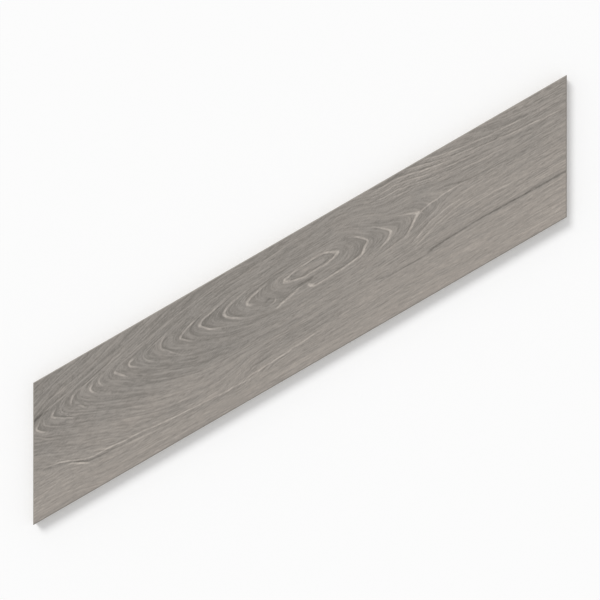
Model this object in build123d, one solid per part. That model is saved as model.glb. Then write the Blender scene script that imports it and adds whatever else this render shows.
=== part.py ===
"""A wood-look porcelain chevron plank: one fired piece with mitred ends and a keyed back.

The plank lies face up. X runs along its long edges, Y across it, and Z = 0 is the plane of the
ribs on its back, with the origin at the middle of that plane. Millimetres and degrees.
"""

from build123d import *
import math
import os

# The plank
face_width = 80.0  # across the plank, square to its long edges
edge_length = 400.0  # along each long edge
thickness = 9.0  # from the ribs of the back to the face
corner_angle = 60.0  # the sharp corner, between a long edge and a mitred end
bevel = 0.6  # ground off the arris all round the face

# The key on the back: a lattice of ribs with shallow pockets between them
key_depth = 0.7
pocket_width = 20.0  # across a pocket's mouth, square to its sides
pocket_corner = 2.5  # radius of a pocket's corners at the mouth
pocket_draft = 40.0  # lean of a pocket's walls, so that the press punch draws out
rib_width = 4.0  # between the mouths of two pockets
rim_width = 5.0  # least plain rim between the pockets and the plank's edges

# What follows from them
corner = math.radians(corner_angle)
across_pitch = pocket_width + rib_width
along_pitch = across_pitch / math.sin(corner)
rim_along = rim_width / math.sin(corner)
rib_along = rib_width / math.sin(corner)
rows_across = int((face_width - 2 * rim_width + rib_width) / across_pitch)
rows_along = int((edge_length - 2 * rim_along + rib_along) / along_pitch)


def slanted(length, width):
    """A parallelogram round the origin: two sides of this length along X, this far apart,
    and two ends that lean over to the sharp corner's angle."""
    lean = width / math.tan(corner)
    corners = [
        (-(length + lean) / 2, -width / 2),
        ((length - lean) / 2, -width / 2),
        ((length + lean) / 2, width / 2),
        (-(length - lean) / 2, width / 2),
    ]
    return make_face(Polyline(*corners, close=True))


def plank():
    """The plain plank, with the arris of its face bevelled all round."""
    blank = extrude(slanted(edge_length, face_width), thickness)
    face = blank.faces().sort_by(Axis.Z)[-1]
    return chamfer(face.edges(), bevel)


def pocket():
    """One pocket of the key, from its mouth at Z = 0 up to its floor, narrowing as it goes in."""
    mouth = slanted(pocket_width / math.sin(corner), pocket_width)
    mouth = fillet(mouth.vertices(), pocket_corner)
    return extrude(mouth, key_depth, taper=pocket_draft)


def pocket_places():
    """The middles of the pockets, in rows that follow the long edges and the mitred ends."""
    for across in range(rows_across):
        y = (across - (rows_across - 1) / 2) * across_pitch
        for along in range(rows_along):
            x = (along - (rows_along - 1) / 2) * along_pitch + y / math.tan(corner)
            yield Pos(x, y)


def chevron_tile():
    """The finished piece: the plank with the key pressed into its back."""
    one = pocket()
    return plank() - [place * one for place in pocket_places()]


os.makedirs("parts", exist_ok=True)
export_step(chevron_tile(), "parts/chevron_tile.step")
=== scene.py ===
"""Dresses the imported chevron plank: one fired piece with a wood-grain face, ground edges and a keyed back.

The file is laid out as an add-on and is run as a script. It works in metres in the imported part's own
frame: X runs along the long edges, Y across the plank, and Z up from the ribs of its back. The figure of
the grain is drawn in millimetres in that same frame.
"""

import math
from functools import partial
from typing import NamedTuple

import bpy
import numpy as np
from bpy.props import FloatProperty, FloatVectorProperty, IntProperty, PointerProperty
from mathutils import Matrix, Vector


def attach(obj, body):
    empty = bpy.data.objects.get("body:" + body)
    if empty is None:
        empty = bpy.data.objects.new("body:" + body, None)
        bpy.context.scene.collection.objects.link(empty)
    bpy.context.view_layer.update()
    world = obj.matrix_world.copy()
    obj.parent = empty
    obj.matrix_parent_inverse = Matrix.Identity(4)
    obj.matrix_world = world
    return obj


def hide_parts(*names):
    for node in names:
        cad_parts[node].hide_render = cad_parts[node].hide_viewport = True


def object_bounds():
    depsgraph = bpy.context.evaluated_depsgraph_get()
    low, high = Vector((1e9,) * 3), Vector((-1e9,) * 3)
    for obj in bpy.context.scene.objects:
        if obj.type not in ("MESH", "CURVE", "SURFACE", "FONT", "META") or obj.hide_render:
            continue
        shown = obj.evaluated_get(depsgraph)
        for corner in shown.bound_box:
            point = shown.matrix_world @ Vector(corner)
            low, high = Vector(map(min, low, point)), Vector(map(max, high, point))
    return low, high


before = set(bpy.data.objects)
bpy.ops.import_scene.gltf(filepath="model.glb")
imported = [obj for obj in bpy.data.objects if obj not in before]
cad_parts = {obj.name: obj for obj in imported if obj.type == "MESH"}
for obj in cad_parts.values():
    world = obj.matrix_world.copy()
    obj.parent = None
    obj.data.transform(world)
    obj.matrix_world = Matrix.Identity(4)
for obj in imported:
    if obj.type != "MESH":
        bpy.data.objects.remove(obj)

bl_info = {
    "name": "Wood Grain Chevron Plank",
    "version": (1, 0, 0),
    "blender": (4, 5, 0),
    "location": "3D View > Sidebar > Plank",
    "description": "Makes a porcelain chevron plank with a wood grain on its face, and a pale stage for it",
    "category": "Add Mesh",
}

MM = 0.001
CAD_NODE = "chevron_tile"
CAD_BODY = "root"
CAD_LOW, CAD_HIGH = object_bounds()
CAD_BOX = CAD_HIGH - CAD_LOW
CORNER = math.radians(60.0)  # between a long edge and a mitred end

# Steps of the face's grid along and across, of a pocket's side, and of the arc in a pocket's corner
FACE_STEPS = (500, 180)
POCKET_STEPS = 10
ARC_STEPS = 6

# The mesh's two finishes, and how near two points lie, in metres, when they become one
FACE_SLOT = 0
BODY_SLOT = 1
MERGE_GRID = 1e-7

# The figure of the grain, in millimetres. How far each place along the plank lies behind the eye of the
# figure, as (x, distance)
BEHIND_EYE = (
    (-260, 255.8), (-200, 195.8), (-100, 95.8), (-60, 55.8), (-30, 25.8), (-14, 9.8), (-4.2, 0), (4, -2),
    (16, -2.6), (27, -2.2), (36, 0), (57, 27), (73, 43), (93.5, 60), (115, 75), (140, 81), (170, 84),
    (240, 87),
)

# The line on which the tips of the rings lie, as (x, y), and how fast its bends fade out away from it
FIGURE_AXIS = (
    (-230, 7.5), (-205, 10), (-190, 12), (-177.5, 14), (-162.5, 17), (-147, 18.3), (-127, 19.3), (-117, 19),
    (-93, 18), (-79, 17.3), (-64.5, 17.4), (-47.4, 15.7), (-31.5, 15), (-4.2, 15.5), (15.5, 15.5), (36, 14.6),
    (57.2, 10.8), (73, 8.8), (93.5, 10.5), (120, 12.8), (150, 12), (230, 9),
)
AXIS_MIDDLE = 14.0
AXIS_FADE = 14.0

# How broad an arm is below and above that line: the square of its distance from the line, over how
# far it has fallen behind its tip, as (x, breadth)
LOWER_BREADTH = (
    (-230, 6), (-150, 6), (-60, 5.8), (-30, 5), (0, 4.5), (40, 4.4), (70, 4.8), (110, 6), (230, 6.5),
)
UPPER_BREADTH = (
    (-230, 3), (-150, 2.6), (-110, 3), (-75, 3.4), (-45, 3.2), (-30, 2.6), (-18, 1.6), (15, 1.35), (36, 1.9),
    (46, 3), (60, 4.6), (85, 5), (108, 9), (130, 11), (175, 6.5), (230, 5),
)
NEAR_AXIS = 4.5
UPPER_START = 6.0
UPPER_SPREAD = 0.2

# Where a lower arm turns from a parabola into a straight line, as (x, distance below the line)
LOWER_BEND = ((-230, 11), (-150, 13), (-100, 18), (-60, 30), (-20, 70), (230, 90))

# Lines of the figure, each a strength, a half width, the lengths over which its start and its end fade, and
# its points. The eye's side of a line is on the left as its points run, and has a dark edge.
PALE_LINES = (
    # The eye
    (0.95, 0.92, 0, 0, (
        (17, 11.7), (29, 12.2), (34, 13.5), (38.4, 14.8), (33.5, 16.9), (30, 18.2), (26, 19.1), (19, 19),
        (11, 18.3), (3, 17.2), (-5.4, 15.5), (2.2, 12.9), (6.7, 12.2), (12, 11.5), (17, 11.7))),
    # The crescents at the tips of the eye and of the arches
    (1.05, 1.45, 2, 2.5, ((0.5, 16.8), (-4.2, 15.5), (2.4, 13.1))),
    (1.05, 1.4, 2, 2, ((33.2, 13.3), (37.3, 14.9), (32.6, 17))),
    (1.05, 1.3, 2.5, 2, ((-28.4, 16.9), (-31.6, 15.2), (-30, 13.7), (-27.4, 12.5))),
    (1.05, 1.35, 2.5, 3, ((-46, 18.4), (-47.4, 15.9), (-45.6, 13.3))),
    (1.05, 1.2, 2.5, 3, ((-63.4, 19.8), (-65, 17.8), (-63, 15.5))),
    (1, 1.05, 2, 2.5, ((-78.4, 19.2), (-79.9, 17), (-78, 15.1))),
    (1, 1.3, 1.5, 3, ((9.4, 7.1), (11, 5.2), (14, 4))),
    (1, 1.2, 1.5, 2, ((71.6, 7.2), (73.7, 8.9), (72, 10.8))),
    (1, 1.4, 1.5, 1.5, ((91, 8.6), (94.9, 10.4), (90.8, 12.1))),
    # The arches to the left of it, from the nearest outwards
    (1, 1, 8, 7, (
        (-11, 20.9), (-17.8, 19.3), (-23.3, 18.2), (-28, 17.1), (-32.3, 15.3), (-29.4, 13.4), (-25, 12))),
    (1, 0.95, 11, 13, (
        (-22, 23.4), (-34.4, 21.5), (-41, 20.2), (-44.8, 18.6), (-47.9, 15.9), (-45, 12.4), (-40.6, 9.8),
        (-35, 7.5))),
    (1, 0.95, 18, 17, (
        (-36, 26.2), (-42.2, 24.8), (-51, 22.6), (-57.8, 21.3), (-62.4, 19.9), (-65.2, 17.8), (-62.2, 14.8),
        (-57.8, 12), (-53.3, 10.2), (-46, 7.2))),
    (0.85, 0.88, 17, 11, (
        (-53, 26), (-60, 24), (-66.7, 22.3), (-73.3, 20.8), (-77.9, 18.8), (-80, 17), (-77.6, 15),
        (-75, 12.6), (-69, 9.2))),
    (0.54, 0.72, 16, 14, (
        (-79, 27), (-84, 25.6), (-90, 22.6), (-93, 20), (-94.1, 17.6), (-91, 15), (-86.7, 9.8), (-82, 4))),
    (0.4, 0.66, 18, 12, (
        (-74, 27.6), (-90, 24), (-98, 22), (-104.5, 20.6), (-106.8, 18.5), (-105.4, 15.4), (-101, 12),
        (-95, 8.6))),
    (0.9, 0.94, 7, 6, (
        (-108, 21.5), (-113, 20.9), (-116.2, 20.3), (-117.6, 18.8), (-115.8, 16.4), (-112.2, 14.4))),
    (1, 0.98, 4, 4, ((-125, 21.6), (-127.9, 20), (-126, 17.6), (-124.2, 16.2), (-121.6, 12))),
    (0.54, 0.7, 6, 6, ((-134, 22.4), (-138.3, 21), (-140, 18.7), (-139.4, 16.2), (-137, 12.6))),
    (0.88, 0.86, 5, 6, ((-141, 20.7), (-145, 19.4), (-147.3, 17.9), (-145.8, 15.2), (-142.8, 11.8))),
    (0.4, 0.62, 8, 9, ((-149, 21.4), (-154.5, 18.6), (-155.2, 16), (-152, 12.6), (-146, 9))),
    (0.85, 0.84, 5, 4, ((-155, 21.6), (-160, 19.3), (-161.8, 17), (-163.4, 14.4))),
    (0.8, 0.74, 3, 4, ((-160.2, 13.6), (-157.4, 12), (-156.6, 10.2), (-154, 8.2))),
    (0.42, 0.62, 9, 14, ((-164, 19.9), (-169, 17.6), (-170.8, 15), (-168, 11.6), (-161, 7.6), (-151, 3))),
    (0.84, 0.78, 7, 6, ((-170, 19), (-175, 17), (-178.2, 14.7), (-172.8, 11.7), (-168.4, 9), (-163, 6))),
    (0.42, 0.62, 7, 14, ((-180, 16.8), (-184.9, 13), (-181, 9.8), (-174, 6.4), (-164, 2.4))),
    (0.8, 0.78, 6, 8, ((-183, 18), (-187, 14.9), (-191, 12.6), (-188, 9.2), (-183, 6))),
    (0.4, 0.6, 6, 12, ((-194, 9.4), (-189, 4.6), (-182, 1), (-170, -3.4))),
    # The arches to the right of it
    (1, 0.92, 4, 11, (
        (8.4, 7.6), (9.6, 5.8), (11.2, 4.1), (13.6, 3.1), (29, 3.5), (38, 4), (44, 4.6), (49, 5.4), (52, 7),
        (53.2, 8.8), (56.4, 10.2), (57.6, 11.2), (56, 13.4), (54, 16), (51, 17.9), (46, 20))),
    (0.46, 0.58, 12, 24, ((50, 18.4), (43, 20.9), (34.4, 21.5), (20, 21.8), (4, 21.6), (-12, 20.7))),
    (0.92, 0.92, 30, 20, (
        (46, -0.4), (58, 1.8), (64, 3.6), (70, 6), (74.2, 8.9), (71, 12), (67, 15.4), (63, 18), (57, 20.4))),
    (0.92, 0.9, 40, 20, (
        (50, -1), (62, -0.6), (70, -0.2), (77, 0.5), (83, 2.6), (88, 5.8), (92, 9), (96.2, 10.4),
        (91.5, 12.2), (85, 14.8), (75, 18))),
    (0.92, 0.74, 18, 1, ((134, 13.2), (124, 13.3), (114, 12.9), (106, 12.3), (99.4, 11.4), (96, 10.5))),
    # The broken line under the eye
    (0.85, 0.7, 9, 3, ((-22.5, 6.1), (-15.6, 7.2), (-13.6, 8.3), (-12.4, 10.2))),
    (1, 0.94, 4, 5, ((-18, 2.3), (-15.6, 2.9), (-4.4, 5.3), (6.4, 7.6))),
    # The long vein near the lower edge
    (0.86, 0.74, 12, 16, (
        (-46, -28.2), (-70, -27.4), (-86, -26.4), (-103, -25.4), (-114, -24.7), (-125, -23.6), (-136, -22.4),
        (-147, -21.7), (-158, -20.9), (-167, -20.7), (-172.5, -19.9), (-177.4, -17.6), (-182, -15.3),
        (-188, -13.3), (-195, -11.9), (-206, -11))),
    (0.8, 0.9, 14, 8, ((10, -23.2), (-3, -23.6), (-14, -24.4), (-28, -25.4), (-44, -26.1), (-62, -26.5))),
    (0.92, 0.74, 4, 4, ((-184.5, -16.6), (-180, -18.3), (-175, -21.2), (-169.5, -24.2))),
    # Lines that sweep over the top
    (0.6, 0.6, 9, 20, ((-185, 19.2), (-180.6, 19.8), (-167, 22), (-158, 23.7), (-147, 26), (-133, 29))),
    (0.6, 0.6, 9, 30, ((-159, 20.6), (-153, 21.2), (-138, 23.9), (-125, 27), (-114, 29.8), (-95, 34.6))),
    (0.48, 0.58, 9, 16, ((-178, 24.2), (-160, 27.2), (-142, 30.4))),
    (0.48, 0.58, 9, 16, ((-122, 23.6), (-104, 27), (-86, 29.6))),
    (0.44, 0.58, 12, 20, ((-94, 28.6), (-74, 31.4), (-50, 33.8))),
    (0.44, 0.58, 10, 14, ((-32, 32.2), (-14, 33.6), (11, 34.5))),
    (0.38, 0.58, 10, 14, ((-28, 27.8), (-8, 29), (16, 29.4))),
    (0.95, 0.8, 14, 16, (
        (70, 36.6), (85, 36.9), (98, 36.2), (107, 34.2), (115, 32.2), (122, 31), (136, 29))),
    (0.7, 0.72, 10, 20, ((128, 30), (150, 27.7), (165, 26.1), (180, 24.5), (195, 23.2), (216, 21.8))),
    (0.7, 0.68, 8, 24, (
        (98, 39.4), (106, 37.9), (114, 35.6), (121, 33.8), (128, 32), (140, 30), (158, 28.6))),
    (0.6, 0.66, 8, 30, ((112, 39.4), (120, 37.4), (130, 34.8), (146, 32.4), (170, 30.4), (204, 28.6))),
    (0.7, 0.68, 14, 20, (
        (66, 33.4), (80, 33.8), (94, 33.3), (103, 31.6), (111, 29.4), (118, 28.2), (128, 26.8), (146, 25.2))),
    (0.62, 0.66, 14, 24, (
        (64, 30.4), (80, 30.7), (92, 30.2), (101, 28.5), (109, 26.6), (117, 25.2), (130, 23.7), (150, 22.4))),
    (0.52, 0.64, 12, 30, (
        (78, 27.9), (90, 27.4), (100, 25.6), (110, 23.6), (122, 22), (140, 20.4), (172, 18.6))),
    # Lines that rise to meet the stem on the right
    (0.58, 0.62, 10, 16, ((76, -5.6), (85, -3.6), (96, 0.9), (104, 3.1), (119.4, 4.8), (134, 5.2))),
    (0.54, 0.62, 10, 18, ((74, -9), (85, -6.9), (98, -2.4), (118, 2), (136, 3))),
    (0.48, 0.58, 5, 5, ((98, 4), (105, 6.4), (111, 8.6))),
    (0.42, 0.58, 12, 14, ((118, -2.7), (140, -2), (167, -2.6))),
    (0.42, 0.58, 12, 14, ((118, 8), (140, 8.4), (170, 7.3))),
)
DARK_LINES = (
    # The crack
    (1.45, 1.1, 5, 4, (
        (85, -15.2), (90, -14.4), (96, -13.8), (110, -13.1), (125, -12.9), (135, -12.9), (150, -13.1),
        (160, -13.6), (175, -13.6), (200, -14.1))),
    (0.62, 0.95, 12, 6, ((40, -11.8), (48, -13), (56, -15.2), (62, -15.2), (74, -15.4), (87, -15.8))),
    # Shadows by the broken line under the eye
    (0.95, 1, 4, 4, ((1.5, 8.3), (4.4, 8.4), (9, 8.6), (13.3, 8), (16.4, 9.8))),
    (0.75, 1, 4, 3, ((-23, 9.2), (-17.8, 10.3), (-14, 10.8))),
    # Others
    (1.1, 1.5, 4, 10, ((-194, 14.2), (-189.4, 17.8), (-184, 19), (-174, 20.2))),
    (0.62, 0.8, 9, 20, ((112, 17.2), (122, 16.2), (130, 13.6), (140, 12.7), (151, 12), (169, 11.3))),
    (0.36, 0.9, 14, 20, ((-152, -17.4), (-130, -18.6), (-110, -20), (-90, -20.9), (-75, -21.4))),
    (0.52, 0.8, 16, 16, ((-62, -21.8), (-42, -21.9), (-20, -21.7), (2, -21.2), (21, -20.3))),
    (0.8, 0.85, 5, 24, (
        (-181, -16.9), (-176, -19.4), (-171, -21.7), (-165, -22.6), (-150, -23.4), (-125, -25.4))),
)

# How far a line reaches, over which distances it fades out, the half width where no line is near, and the
# least half width of a line's relief
LINE_REACH = 6.0
LINE_FADE = (3.0, 4.8)
FREE_WIDTH = 0.6
RELIEF_WIDTH = 0.7

# A fade starts a little outside its line, so that an end with no fade is whole. A line's strength is a share
# and a part that grows as it turns across the plank. Its width is a share at a faded end, what a whole line
# has more, and what it has more again as it turns across.
FADE_START = -0.01
LEVEL_STRENGTH = 0.76
CROSS_STRENGTH = 0.34
END_WIDTH = 0.42
WHOLE_WIDTH = 0.16
CROSS_WIDTH = 0.4

# Below the long vein, as (x, y), the grain runs along the vein
VEIN = (
    (-230, -14), (-186, -14.5), (-167, -21.3), (-125, -23.6), (-86, -26), (-46, -28), (0, -29), (230, -44),
)

# Soft patches of tone, each as screen levels, the middle's x and y, half its length, half its width, and how
# far it rises for each millimetre along
TONE_PATCHES = (
    (-6.0, -105, 10, 110, 14, 0),
    (7.0, -121, 13.5, 16, 5, 0),
    (-9.0, -57, 19.5, 17, 5, 0),
    (-7.5, -50, -4, 42, 6, -0.05),
    (4.0, -104, -9, 18, 4, 0),
    (4.0, -138, -13, 45, 5, 0),
    (4.0, -15, 14, 10, 5, 0),
    (5.0, 16, 13, 14, 3.5, 0),
    (-6.0, 60, 12, 15, 8, 0),
    (5.0, 136, 4, 24, 13, 0),
    (-5.0, 180, 15, 16, 8, 0),
    (4.5, 137, 36, 18, 5, 0),
    (4.0, -22, -13.5, 18, 3, 0),
    (-6.0, -8, -17.5, 34, 2.6, 0.05),
    (4.5, 42, -17, 16, 7, 0),
    (1.5, -22, -24.8, 34, 1.7, 0.04),
    (-1.0, -15, -29, 60, 2.4, 0),
)

# Noises as rows of a height and the sizes of a cell along and across: what bends the figure along and across,
# what bends the pale lines, the speckle that the broad streaks are drawn from, and the slow tone
ALONG_WANDER = ((1.1, 31, 11),)
ACROSS_WANDER = ((0.5, 27, 8), (0.22, 8, 4))
LINE_WANDER = ((0.35, 5, 4),)
BROAD_SPECKLE = ((1.0, 2.4, 1.3),)
TONE_NOISE = ((1.1, 62, 24), (0.66, 24, 12))
NOISE_CELLS = 256

# Zones of the grain, each by the distances over which it eases in or out, or by a middle and a half width
BELOW_VEIN = (-2, 5)
PAST_FORK = (104, 128)
FORK_BREADTH = 11
CALM_ALONG = (0, 80)
CALM_BELOW = (8, 22)
LEFT_ALONG = (50, 130)
LEFT_ABOVE = (-34, -20)
LEFT_BELOW = (12, 24)
RIGHT_ALONG = (120, 190)
SWEPT_ABOVE = (14, 24)
SWEPT_GAP = 20
SWEPT_GAP_WIDTH = 60

# The calm ground beside the eye, in rows like those of the soft patches, with shares in place of levels
BESIDE_EYE = ((0.9, -14, 12.5, 17, 6.5, 0), (0.6, 46, 12, 8, 6, 0))

# What the streaks gain or lose in a zone
LEFT_GAIN = 0.35
RIGHT_GAIN = 0.2
SWEPT_GAIN = 0.5
VEIN_LOSS = 0.3
CALM_LOSS = 0.45

# How the streaks are drawn: a step in millimetres, the steps each way of the three kinds, and how far the
# grain below the vein leans with it
FLOW_STEP = 0.7
BROAD_STEPS = 40
FINE_STEPS = 20
TICK_STEPS = 2
VEIN_LEAN = 0.6
TINY = 1e-9

# The place across the grain: what the depth starts from, and how far it is drawn out
ACROSS_START = 3
ACROSS_STRETCH = 5

# The slow tone: levels for each millimetre along and up, then the levels of its parts and where they ease in
TONE_ALONG = 0.016
TONE_UP = -0.15
TONE_BELOW = (-2, 14)
LOWER_LEVELS = 3.4
LOWER_BELOW = (8, 40)
LEFT_LEVELS = 2.4
LEFT_END = (20, 170)
RIGHT_LEVELS = 1.4
RIGHT_LOWER_LEVELS = 2.8
RIGHT_LOWER = (-20, 10)
RIGHT_END = (120, 200)
EYE_LEVELS = 1.2
EYE_WIDTH = 55

# How much of each kind of streak is pressed in, and over which range of their sum the depth grows
STREAK_SHARES = (0.35, 0.6, 0.5)
STREAK_RANGE = (-0.4, 2.2)


def screen(red, green, blue):
    """The linear light of a colour given by its levels on a screen, from 0 to 255, by the sRGB curve."""
    levels = np.array((red, green, blue)) / 255
    light = np.where(levels <= 0.04045, levels / 12.92, ((levels + 0.055) / 1.055) ** 2.4)
    return light.tolist()


# The kinds of property that are used again and again, with their unit or subtype
Length = partial(FloatProperty, min=0, unit="LENGTH", precision=5)
Angle = partial(FloatProperty, subtype="ANGLE")
Colour = partial(FloatVectorProperty, size=3, min=0, max=1, subtype="COLOR")


class PlankSizes(bpy.types.PropertyGroup):
    """The sizes of the plank and of the key on its back."""

    width: Length(
        name="Width", description="Across the plank, square to its long edges", default=CAD_BOX.y, min=0.03)
    edge: Length(
        name="Edge", description="Along each long edge",
        default=CAD_BOX.x - CAD_BOX.y / math.tan(CORNER), min=0.1,
    )
    thickness: Length(
        name="Thickness", description="From the ribs of the back to the face", default=CAD_BOX.z, min=0.004)
    corner: Angle(
        name="Corner", description="The sharp corner, between a long edge and a mitred end",
        default=CORNER, min=math.radians(30), max=math.radians(90),
    )
    bevel: Length(
        name="Bevel", description="Ground off the arris all round the face", default=0.6 * MM, min=0.1 * MM)
    key_depth: Length(
        name="Key depth", description="How deep the pockets of the back are",
        default=0.7 * MM, min=0.1 * MM,
    )
    pocket: Length(
        name="Pocket", description="Across a pocket's mouth, square to its sides",
        default=20 * MM, min=5 * MM,
    )
    pocket_corner: Length(
        name="Pocket corner", description="Radius of a pocket's corners at its mouth",
        default=2.5 * MM, min=1 * MM,
    )
    pocket_draft: Angle(
        name="Pocket draft", description="Lean of a pocket's walls",
        default=math.radians(40), max=math.radians(60),
    )
    rib: Length(name="Rib", description="Between the mouths of two pockets", default=4 * MM, min=1 * MM)
    pockets_along: IntProperty(name="Pockets along", description="Pockets in a row", default=14, min=1)
    pockets_across: IntProperty(name="Pockets across", description="Rows of pockets", default=3, min=1)


class GrainRelief(bpy.types.PropertyGroup):
    """How deep the grain is pressed into the face."""

    line_depth: Length(
        name="Line depth", description="Depth of the pale lines of the figure", default=0.16 * MM)
    streak_depth: Length(
        name="Streak depth", description="Depth of the streaks that follow the grain", default=0.20 * MM)
    crack_depth: Length(name="Crack depth", description="Depth of the dark lines", default=0.28 * MM)
    seed: IntProperty(
        name="Seed", description="Start of the random numbers of the grain", default=11, min=0)


class PlankColours(bpy.types.PropertyGroup):
    """The colours of the face and of the fired body."""

    pale: Colour(name="Pale", description="The palest lines of the grain", default=screen(194, 186, 177))
    light: Colour(
        name="Light", description="The light streaks of the grain", default=screen(160, 153, 145.8))
    ground: Colour(
        name="Ground", description="The middle tone of the face", default=screen(148.3, 142.5, 136.2))
    shade: Colour(
        name="Shade", description="The dark streaks of the grain", default=screen(124.8, 120, 113.7))
    dark: Colour(name="Dark", description="The darkest lines of the grain", default=screen(94.6, 90, 84.6))
    cool: Colour(
        name="Cool cast", description="What the face's colour is multiplied by where it is coolest",
        default=(0.978, 0.99, 1.0),
    )
    warm: Colour(
        name="Warm cast", description="What the face's colour is multiplied by where it is warmest",
        default=(1.0, 0.98, 0.965),
    )
    body: Colour(
        name="Body", description="The fired body, where it shows on the edges and the back",
        default=screen(158, 152, 144),
    )
    dust: Colour(
        name="Kiln wash", description="The pale wash left on the ribs of the back",
        default=screen(205, 201, 194),
    )
    roughness: FloatProperty(
        name="Roughness", description="How matt the face is", default=0.62, min=0, max=1, subtype="FACTOR")


class StageLook(bpy.types.PropertyGroup):
    """The floor, the light and the camera."""

    floor: Colour(name="Floor", description="Colour of the floor", default=(0.97, 0.97, 0.97))
    floor_glow: FloatProperty(
        name="Floor glow", description="Added to the floor as the camera sees it, so that it reads as white",
        default=0.07, min=0,
    )
    floor_radius: Length(name="Floor radius", description="How far the floor reaches", default=8, min=1)
    sky: FloatProperty(
        name="Sky", description="Even light from all round; 1 by itself shows a colour as it is written",
        default=0.60, min=0,
    )
    key: FloatProperty(
        name="Key", description="Light from the key lamp on a level face, on the same scale",
        default=0.33, min=0,
    )
    key_height: Angle(
        name="Key height", description="The key lamp's angle above the floor", default=math.radians(48))
    key_bearing: Angle(
        name="Key bearing", description="The key lamp's bearing from the picture's right, anticlockwise",
        default=math.radians(130),
    )
    key_spread: Angle(
        name="Key spread", description="How wide the key lamp looks from the plank",
        default=math.radians(25),
    )
    turn: Angle(
        name="Turn", description="How far the long edges rise to the right in the picture",
        default=math.radians(30),
    )
    lens: FloatProperty(name="Lens", description="Focal length in millimetres", default=85, min=10)
    fill: FloatProperty(
        name="Fill", description="The plank's share of the picture's width", default=0.89, min=0.1, max=1,
        subtype="FACTOR",
    )


def eased(value, low, high):
    """From 0 at low to 1 at high, by three times the square less twice the cube of the way gone."""
    t = np.clip((value - low) / (high - low), 0, 1)
    return t * t * (3 - 2 * t)


def bell(off, half_width):
    """The bell curve of a distance: e to the power of minus the square of its share of the half width."""
    return np.exp(-((off / half_width) ** 2))


def lattice_noise(u, v, seed):
    """Smooth noise from -1 to 1. Random heights stand on the whole numbers of u and v, and between two of
    them the height eases from one to the other."""
    heights = np.random.default_rng(seed).uniform(-1, 1, (NOISE_CELLS, NOISE_CELLS))
    at_u = np.floor(u).astype(int)
    at_v = np.floor(v).astype(int)
    ease_u = eased(u - at_u, 0, 1)
    ease_v = eased(v - at_v, 0, 1)

    def height(step_u, step_v):
        """The random height at a corner of the cell."""
        return heights[(at_u + step_u) % NOISE_CELLS, (at_v + step_v) % NOISE_CELLS]

    near = height(0, 0) * (1 - ease_u) + height(1, 0) * ease_u
    far = height(0, 1) * (1 - ease_u) + height(1, 1) * ease_u
    return near * (1 - ease_v) + far * ease_v


def noises(x, y, rows, seed):
    """Smooth noises added up, one for each row, with seeds that count up from the one given."""
    return sum(
        height * lattice_noise(x / along, y / across, seed + number)
        for number, (height, along, across) in enumerate(rows)
    )


def soft_patches(x, y, rows):
    """Patches added up, one for each row: its height times the bell curves of the distances along and
    across its middle line, which may rise."""
    total = np.zeros(x.shape)
    for height, middle_x, middle_y, half_length, half_width, rise in rows:
        ahead = x - middle_x
        total += height * bell(ahead, half_length) * bell(y - middle_y - rise * ahead, half_width)
    return total


def curve_through(x, knots):
    """The height at x of a smooth curve through knots: a cubic between each two, with the slope at a knot
    taken from its neighbours, and level beyond the first and the last."""
    at, height = np.array(knots, float).T
    slope = np.gradient(height, at)
    left = np.clip(np.searchsorted(at, x) - 1, 0, len(at) - 2)
    step = at[left + 1] - at[left]
    t = np.clip((x - at[left]) / step, 0, 1)
    value = (1 + 2 * t) * (1 - t) ** 2 * height[left] + t**2 * (3 - 2 * t) * height[left + 1]
    return value + step * t * (1 - t) * ((1 - t) * slope[left] - t * slope[left + 1])


def figure_depth(x, y):
    """How far a point lies behind the eye along its ring's axis. On the axis it is the distance beyond the
    eye's tip. Off the axis it grows by the square of the distance from the axis over the arm's breadth, so
    that each ring is an arch with a parabola's tip, and below the bend it grows evenly."""
    offset = (curve_through(x, FIGURE_AXIS) - AXIS_MIDDLE) / (1 + ((y - AXIS_MIDDLE) / AXIS_FADE) ** 2)
    away = y - AXIS_MIDDLE - offset
    lower = curve_through(x, LOWER_BREADTH)
    upper = curve_through(x, UPPER_BREADTH) + UPPER_SPREAD * np.maximum(away - UPPER_START, 0)
    squeezed = upper + (lower - upper) * np.exp(-((away / NEAR_AXIS) ** 2))
    bent = lower * np.sqrt(1 + (away / curve_through(x, LOWER_BEND)) ** 2)
    breadth = np.where(away > 0, squeezed, bent)
    return curve_through(x, BEHIND_EYE) + away**2 / breadth


def softened(points):
    """A polyline with each corner cut off a quarter of the way along the runs on both sides of it."""
    cut = 0.25
    first = points[:-1] * (1 - cut) + points[1:] * cut
    second = points[:-1] * cut + points[1:] * (1 - cut)
    between = np.stack((first, second), axis=1).reshape(-1, 2)
    return np.concatenate((points[:1], between[1:-1], points[-1:]))


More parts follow.
